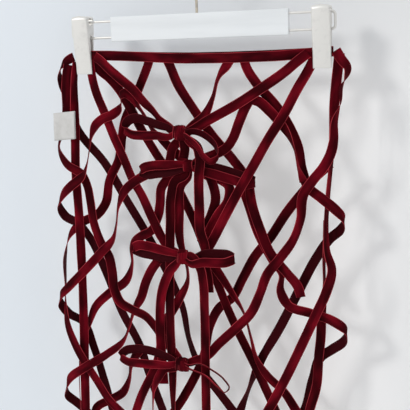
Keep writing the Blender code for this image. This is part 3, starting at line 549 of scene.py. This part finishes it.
def label_finish():
    """Plain woven off-white label cloth."""
    cloth = Finish("woven_label_cloth", {"Roughness": 0.85, "Specular IOR Level": 0.25, "Sheen Weight": 0.2})
    spot = cloth.place()
    warp = cloth.threads("X", spot, 520.0)
    weft = cloth.threads("Z", spot, 620.0)
    soil = cloth.clouds(spot, 120.0, 3.0)
    colour = cloth.blend(soil.between(0.35, 0.75), LABEL_CLEAN, LABEL_SOILED)
    cloth.feed("Base Color", cloth.blend(0.16 * (1 - warp * weft), colour, LABEL_GAPS))
    cloth.bump(warp * 0.5 + weft * 0.5, 0.3, 0.0002)
    return cloth.material


# Shapes

def place(across, drop, out):
    """A table's place, in metres."""
    return Vector((across, -out, WAIST_Z - drop)) * MM


def curve_through(values, every):
    """A smooth curve through the rows' values, whose first three are a place, read about every so many mm."""
    gaps = [(b - a).xyz.length for a, b in zip(values, values[1:])]
    slopes = [(b - a) / gap for a, b, gap in zip(values, values[1:], gaps)]
    tangents = [slopes[0]]
    for i in range(1, len(slopes)):
        tangents.append((slopes[i - 1] * gaps[i] + slopes[i] * gaps[i - 1]) / (gaps[i - 1] + gaps[i]))
    tangents.append(slopes[-1])
    found = []
    for i, gap in enumerate(gaps):
        steps = max(1, round(gap / (every * MM)))
        for t in (k / steps for k in range(steps)):
            found.append(values[i] * (2 * t**3 - 3 * t**2 + 1) + values[i + 1] * (3 * t**2 - 2 * t**3)
                         + (tangents[i] * (t**3 - 2 * t**2 + t) + tangents[i + 1] * (t**3 - t**2)) * gap)
    return found + [values[-1]]


def heading(line, i):
    """Which way a line runs at one of its points."""
    return (line[min(i + 1, len(line) - 1)] - line[max(i - 1, 0)]).normalized()


def distances(line):
    """How far along a line each of its points is."""
    reached = [0.0]
    for a, b in zip(line, line[1:]):
        reached.append(reached[-1] + (b - a).length)
    return reached


def linked(name, data):
    """A new object in the scene."""
    obj = bpy.data.objects.new(name, data)
    bpy.context.scene.collection.objects.link(obj)
    return obj


def add_piece(name, mesh, finish, node):
    """A piece of the object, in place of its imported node."""
    obj = linked(name, mesh)
    mesh.materials.clear()
    mesh.materials.append(finish)
    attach(obj, BODY)
    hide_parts(node)
    return obj


def mesh_from(bm, name):
    """A mesh from a bmesh, outward and smooth."""
    bmesh.ops.recalc_face_normals(bm, faces=bm.faces)
    mesh = bpy.data.meshes.new(name)
    for face in bm.faces:
        face.smooth = True
    bm.to_mesh(mesh)
    bm.free()
    return mesh


def bridge(bm, rows):
    """Faces between rows of points, each row joined to the next."""
    for a, b in zip(rows, rows[1:]):
        for k in range(len(a) - 1):
            bm.faces.new((a[k], a[k + 1], b[k + 1], b[k]))


def thicken(obj, thickness):
    """Gives a sheet its thickness, half to each side."""
    wall = obj.modifiers.new("thickness", "SOLIDIFY")
    wall.thickness = thickness * MM
    wall.offset = 0


# Ribbons

def wander(what, t, seed):
    """One of the wanders of the ribbon with that seed, t mm along it."""
    amount, over, which = what
    return amount * noise.noise(Vector((t / over, seed, which)))


def ribbon_shell(node, line, across, seed, gathered=(), folds=0.0, gather_over=GATHER_OVER):
    """A velvet ribbon along a line, and its length. Its width lies along the directions given, its edges curl and
    wander a little, and it narrows and cups at the ends that are gathered: "start", "end" or both."""
    reached = distances(line)
    bm = bmesh.new()
    uv = bm.loops.layers.uv.new("ribbon")
    nap, edge, painted_light = (bm.verts.layers.float.new(attribute) for attribute in ("nap", "edge", "painted_light"))
    rings = []
    for i, (centre, side) in enumerate(zip(line, across, strict=True)):
        up = side.cross(heading(line, i)).normalized()
        t = reached[i] / MM
        from_end = {"start": t, "end": (reached[-1] - reached[i]) / MM}
        pinch = max((max(0.0, 1 - from_end[end] / gather_over) ** GATHER_POWER for end in gathered), default=0.0)
        half = RIBBON_WIDTH / 2 * (1 - (1 - GATHERED_WIDTH) * pinch) * (1 + wander(WIDTH_WANDER, t, seed))
        curl = EDGE_CURL + wander(CURL_WANDER, t, seed) + GATHER_CURL * pinch
        lean = wander(LEAN_WANDER, t, seed)
        ring = []
        for share, high in SECTION:
            dip = curl * share * share + lean * share
            dip += (folds + GATHER_FOLDS * pinch) * math.cos(FOLD_WAVES * math.pi * share) * FOLD_DEEP
            dip += abs(share) ** 3 * wander(RIPPLE_WANDER, t, seed + share)
            vert = bm.verts.new(centre + side * (share * half * MM) + up * ((high - dip * 0.5) * MM))
            vert[nap] = 1.0 if high > 0 else (EDGE_NAP if high == 0 else 0.0)
            vert[edge] = abs(share)
            # Each point carries its ribbon's painted light and shade.
            vert[painted_light] = PAINTED_LIGHT_BY_RIBBON.get(node, 1.0)
            ring.append(vert)
        rings.append(ring)
    count = len(SECTION)
    for i in range(len(rings) - 1):
        for k in range(count):
            m = (k + 1) % count
            corners = ((i, k), (i + 1, k), (i + 1, m), (i, m))
            face = bm.faces.new([rings[row][column] for row, column in corners])
            for loop, (row, column) in zip(face.loops, corners, strict=True):
                loop[uv].uv = (reached[row] + FINISH_SHIFT * seed, SECTION[column][0] * RIBBON_WIDTH / 2 * MM)
    bm.faces.new(rings[0])
    bm.faces.new(reversed(rings[-1]))
    return mesh_from(bm, node + "_velvet"), reached[-1]


def add_ribbon(name, shell):
    """A ribbon's piece, in place of its imported node."""
    mesh, length = shell
    obj = add_piece(name + "_velvet", mesh, velvet, name)


def knot_lead(knot, beside):
    """A point inside a knot's ring, that leads a gathered ribbon in from the point beside it."""
    _, across, drop, out, wide, _, _ = KNOTS[knot - 1]
    middle = place(across, drop, out)
    way = beside - middle
    way.y = 0
    lead = middle + way.normalized() * (wide / 2 - LEAD_IN) * MM
    lead.y = 0.5 * (lead.y + beside.y)
    return lead


def net_ribbon(name, rows, seed):
    """A ribbon through rows of (across, drop, out, face)."""
    values = [place(*row[:3]).to_4d() for row in rows]
    for value, row in zip(values, rows, strict=True):
        value.w = math.radians(row[3])
    gathered = ()
    if name in INTO_KNOT:
        knot, end = INTO_KNOT[name]
        gathered = (end,)
        last = values[0] if end == "start" else values[-1]
        lead = knot_lead(knot, last.xyz).to_4d()
        lead.w = last.w
        values.insert(0 if end == "start" else len(values), lead)
    read = curve_through(values, SECTION_EVERY)
    line = [value.xyz for value in read]
    naps = [Vector((math.sin(value.w), -math.cos(value.w), 0)) for value in read]
    across = [heading(line, i).cross(look).normalized() for i, look in enumerate(naps)]
    add_ribbon(name, ribbon_shell(name, line, across, seed, gathered))


def bow_loop(name, wide, rows, seed):
    """A bow's loop through rows of (across, drop, out), gathered into its knot at both ends."""
    points = [place(*row) for row in rows]
    knot = int(name.split("_")[1])
    above = Vector((0, 0, MM))
    line = curve_through([knot_lead(knot, points[0]) + above, *points, knot_lead(knot, points[-1]) - above],
                         SECTION_EVERY)
    wide = Vector(wide)
    across = []
    for i in range(len(line)):
        ahead = heading(line, i)
        across.append((wide - ahead * wide.dot(ahead)).normalized())
    shell = ribbon_shell(name, line, across, seed, ("start", "end"), LOOP_FOLDS, LOOP_GATHER_OVER)
    add_ribbon(name, shell)


def bow_knot(bow, across, drop, out, wide, high, deep, seed):
    """The ribbon wound round a bow's middle: it drifts sideways as it winds, and is folded along its length."""
    name = f"knot_{bow}"
    middle = place(across, drop, out)
    drift = wide - RIBBON_WIDTH
    line = []
    sides = []
    for i in range(KNOT_SECTIONS + 1):
        share = i / KNOT_SECTIONS
        turned = math.radians(KNOT_START + 360 * KNOT_TURNS * share)
        grown = 1 - KNOT_TIGHTER * (1 - share)
        line.append(middle + Vector((drift * (share - 0.5), -grown * (deep / 2 - KNOT_SKIN) * math.cos(turned),
                                     grown * (high / 2 - KNOT_SKIN) * math.sin(turned))) * MM)
        sides.append(Vector((1, 0, KNOT_TILT * math.cos(turned))).normalized())
    add_ribbon(name, ribbon_shell(name, line, sides, seed, folds=KNOT_FOLDS))


def woven_label():
    """The blank label: a strip of woven cloth folded at its left edge."""
    fold = curve_through([Vector((across, out, 0)) * MM for across, out in LABEL_FOLD], LABEL_EVERY)
    bm = bmesh.new()
    columns = []
    for point in fold:
        across, out = point.x / MM, point.y / MM
        slope = (across - LABEL_ROOT) * LABEL_SLOPE
        column = []
        for k in range(LABEL_ROWS + 1):
            share = k / LABEL_ROWS
            bow = LABEL_BOW * math.sin(math.pi * share)
            bow += LABEL_WAVE * noise.noise(Vector((across / LABEL_WAVE_OVER, 4 * share, 1.5)))
            column.append(bm.verts.new(place(across - share, LABEL_TOP + LABEL_HIGH * share + slope, out + bow)))
        columns.append(column)
    bridge(bm, columns)
    name = "label_cloth_strip"
    obj = add_piece(name, mesh_from(bm, name), label_cloth, "woven_label")
    thicken(obj, LABEL_THICK)
    round(distances(fold)[-1], 3)


# Hanger

def wire(name, points, radius, finish, node, closed=False):
    """A round wire through points in millimetres."""
    curve = bpy.data.curves.new(name, "CURVE")
    curve.dimensions = "3D"
    curve.bevel_depth = radius * MM
    curve.bevel_resolution = 6
    curve.use_fill_caps = not closed
    spline = curve.splines.new("POLY")
    spline.points.add(len(points) - 1)
    for spot, point in zip(spline.points, points, strict=True):
        spot.co = (Vector(point) * MM).to_4d()
    spline.use_cyclic_u = closed
    spline.use_smooth = True
    drawn = linked(name, curve)
    mesh = bpy.data.meshes.new_from_object(drawn.evaluated_get(bpy.context.evaluated_depsgraph_get()))
    bpy.data.objects.remove(drawn)
    mesh.shade_smooth()
    add_piece(name, mesh, finish, node)


def arc(centre_x, centre_z, radius, start, end, count):
    """Points of an arc in the XZ plane, in degrees from +X towards +Z."""
    turned = [math.radians(start + (end - start) * i / count) for i in range(count + 1)]
    return [(centre_x + radius * math.cos(a), 0, centre_z + radius * math.sin(a)) for a in turned]


def smooth_jaw_rows():
    """The jaw's rows, read about every 2 mm: height, face, front ear and back ear."""
    fine = []
    for upper, lower in zip(JAW_ROWS, JAW_ROWS[1:]):
        steps = max(2, round(abs(upper[0] - lower[0]) / 2))
        for k in range(steps):
            share = k / steps
            fine.append(tuple(a + (b - a) * share for a, b in zip(upper, lower)))
    return fine + [JAW_ROWS[-1]]


def jaw_profile(half, ear):
    """One row of a clip plate, from ear to ear: (across, back), with rounded corners and a slightly full face."""
    corner = min(PLATE_CORNER, ear)
    profile = [(-half, ear)]
    for degrees in range(0, 91, 15):
        a = math.radians(degrees)
        profile.append((-half + corner * (1 - math.cos(a)), corner * (1 - math.sin(a))))
    middle = (0.0, -PLATE_DISH)
    return profile + [middle] + [(-x, back) for x, back in reversed(profile)]


def jaw_plate(name, node, side, facing):
    """A pressed clip plate with rounded corners, side ears and a rolled top. It faces the front with 1, the back
    with -1."""
    half = (CLIP_WIDE if facing > 0 else JAW_WIDE) / 2
    bm = bmesh.new()
    grid = []
    for height, plate_out, front_ear, back_ear in smooth_jaw_rows():
        crown = PLATE_CROWN if height > PLATE_CROWN_FROM else 0.0
        row = []
        for x, back in jaw_profile(half, front_ear if facing > 0 else back_ear):
            up = BAR_Z + height - crown * abs(x / half) ** 3
            row.append(bm.verts.new(Vector((side * CLIP_X + x, -facing * (plate_out - back), up)) * MM))
        grid.append(row)
    bridge(bm, grid)
    obj = add_piece(name, mesh_from(bm, name), nickel, node)
    thicken(obj, PLATE_THICK)
    softened = obj.modifiers.new("pressed_edges", "BEVEL")
    softened.width = PLATE_SOFT * MM
    softened.segments = 2
    softened.limit_method = "ANGLE"
    softened.angle_limit = math.radians(50)


def clip(side_name, side):
    """A clip at one end of the rail: two jaws, the pin that joins them and the spring on it."""
    jaw_plate(f"clip_front_{side_name}", f"jaw_front_{side_name}", side, 1)
    jaw_plate(f"clip_back_{side_name}", f"jaw_back_{side_name}", side, -1)
    x = side * CLIP_X
    reach = JAW_WIDE / 2 - PLATE_THICK / 2 - PIN_SHORT
    wire(f"clip_pin_{side_name}", [(x - reach, 0, BAR_Z), (x + reach, 0, BAR_Z)], PIN_R, nickel, f"pin_{side_name}")
    coil = []
    count = SPRING_TURNS * SPRING_STEPS
    for i in range(count + 1):
        turned = math.radians(360 / SPRING_STEPS) * i
        coil.append((x - SPRING_HALF + 2 * SPRING_HALF * i / count, SPRING_R * math.cos(turned),
                     BAR_Z + SPRING_R * math.sin(turned)))
    wire(f"clip_spring_{side_name}", coil, SPRING_WIRE_R, nickel, f"spring_{side_name}")


def hanger_wires():
    """The hook, whose crook's top is over the origin, and the rail: one closed loop through the bar."""
    centre_z = WIRE_R - HOOK_R
    crook = arc(0, centre_z, HOOK_R, 180 + HOOK_OPEN_DEG, -90, 60)
    stem = [(0, 0, centre_z - HOOK_R - HOOK_NECK), (0, 0, BAR_Z + BAR_HIGH / 2 - 1)]
    wire("hook_wire", crook + stem, WIRE_R, hook_plating, "hook")
    centre_x = RAIL_END - WIRE_R - RAIL_BEND
    right = arc(centre_x, BAR_Z + RAIL_HALF - RAIL_BEND, RAIL_BEND, 90, 0, 12)
    right += arc(centre_x, BAR_Z - RAIL_HALF + RAIL_BEND, RAIL_BEND, 0, -90, 12)
    left = [(-x, y, z) for x, y, z in reversed(right)]
    wire("rail_wire", right + left, WIRE_R, nickel, "rail", closed=True)


# Stage

def stage_mesh(name, corners, finish):
    """A flat four-cornered surface of the stage."""
    mesh = bpy.data.meshes.new(name)
    mesh.from_pydata(corners, [], [(0, 1, 2, 3)])
    mesh.materials.append(finish)
    linked(name, mesh)


def wall_paint():
    """Pale paint, cooler at the left, with bounced light behind the skirt. The wall's back is clear."""
    paint = Finish("wall_paint", {"Roughness": 0.9, "Specular IOR Level": 0.1, "Emission Strength": 1.0})
    spot = paint.place()
    across, up = (paint.node("SeparateXYZ", {}, {"Vector": spot}, output=axis) for axis in "XZ")
    paint.feed("Base Color", paint.blend(across.between(-0.35, 0.35), WALL_LEFT, WALL_RIGHT))
    shaded = across.between(-0.30, -0.10) * (1 - across.between(0.10, 0.32)) * (1 - up.between(-0.20, -0.06))
    paint.feed("Emission Color", paint.blend(shaded, NO_BOUNCE, BOUNCE))
    behind = paint.node("NewGeometry", {}, {}, output="Backfacing")
    clear = paint.node("BsdfTransparent", {}, {})
    painted = Value(paint, paint.shader.outputs["BSDF"])
    seen = paint.node("MixShader", {}, {0: behind, 1: painted, 2: clear})
    paint.tree.links.new(seen.socket, paint.tree.nodes["Material Output"].inputs["Surface"])
    return paint.material


def stage():
    """A pale wall close behind the skirt and a pale floor."""
    w, f = WALL_HALF, FLOOR_HALF
    stage_mesh("wall", [(-w, WALL_Y, FLOOR_Z), (w, WALL_Y, FLOOR_Z), (w, WALL_Y, WALL_TOP), (-w, WALL_Y, WALL_TOP)],
               wall_paint())
    ground = Finish("pale_floor", {"Roughness": 0.8, "Base Color": FLOOR_COLOUR})
    stage_mesh("floor", [(-f, -f, FLOOR_Z), (f, -f, FLOOR_Z), (f, f, FLOOR_Z), (-f, f, FLOOR_Z)], ground.material)


def area_light(name, at, size, power, colour):
    """A square lamp, in metres and watts, turned towards the skirt."""
    lamp = bpy.data.lights.new(name, "AREA")
    lamp.size = size
    lamp.energy = power
    lamp.color = colour
    obj = linked(name, lamp)
    obj.location = at
    obj.rotation_euler = (Vector(LIT_AT) - Vector(at)).to_track_quat("-Z", "Y").to_euler()


def lights():
    """A soft pale room, a key light from the left and a weak fill from the right."""
    world = bpy.data.worlds.new("soft_room")
    world.use_nodes = True
    room = world.node_tree.nodes["Background"]
    room.inputs["Color"].default_value = ROOM_COLOUR
    room.inputs["Strength"].default_value = ROOM_STRENGTH
    bpy.context.scene.world = world
    area_light("key", at=(-3.0, -4.4, 2.1), size=0.9, power=96.0, colour=(1.0, 0.985, 0.96))
    area_light("fill", at=(3.2, -3.6, 0.3), size=2.6, power=12.0, colour=(1.0, 0.96, 0.92))
    bpy.context.scene.view_settings.view_transform = "Standard"


def camera():
    """The camera: its azimuth to the right of the front, how far it looks down, and its roll."""
    azimuth, down, roll = (math.radians(v) for v in (CAMERA_AZIMUTH, CAMERA_DOWN, CAMERA_ROLL))
    ahead = Vector((-math.sin(azimuth) * math.cos(down), math.cos(azimuth) * math.cos(down), -math.sin(down)))
    right = Vector((math.cos(azimuth), math.sin(azimuth), 0))
    up = right.cross(ahead)
    right, up = right * math.cos(roll) + up * math.sin(roll), up * math.cos(roll) - right * math.sin(roll)
    lens = bpy.data.cameras.new("camera")
    lens.lens = CAMERA_LENS
    lens.clip_start = CAMERA_NEAR
    obj = linked("camera", lens)
    obj.matrix_world = Matrix.Translation(CAMERA_AT) @ Matrix((right, up, -ahead)).transposed().to_4x4()
    bpy.context.scene.camera = obj


camera()
lights()
stage()
velvet = velvet_finish()
plastic = plastic_finish()
nickel = nickel_finish()
hook_plating = brass_finish()
label_cloth = label_finish()

# Every ribbon has a seed of its own for its wanders and its finish, in this order.
seeds = itertools.count(1)
for ribbon_name, ribbon_rows in RIBBONS.items():
    net_ribbon(ribbon_name, ribbon_rows, next(seeds))
for loop_name, (loop_wide, loop_rows) in LOOPS.items():
    bow_loop(loop_name, loop_wide, loop_rows, next(seeds))
for knot_row in KNOTS:
    bow_knot(*knot_row, seed=next(seeds))
woven_label()
clip("left", -1)
clip("right", 1)
hanger_wires()

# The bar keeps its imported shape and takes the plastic's finish.
bar_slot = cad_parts["bar"].material_slots[0]
bar_slot.link = "OBJECT"
bar_slot.material = plastic
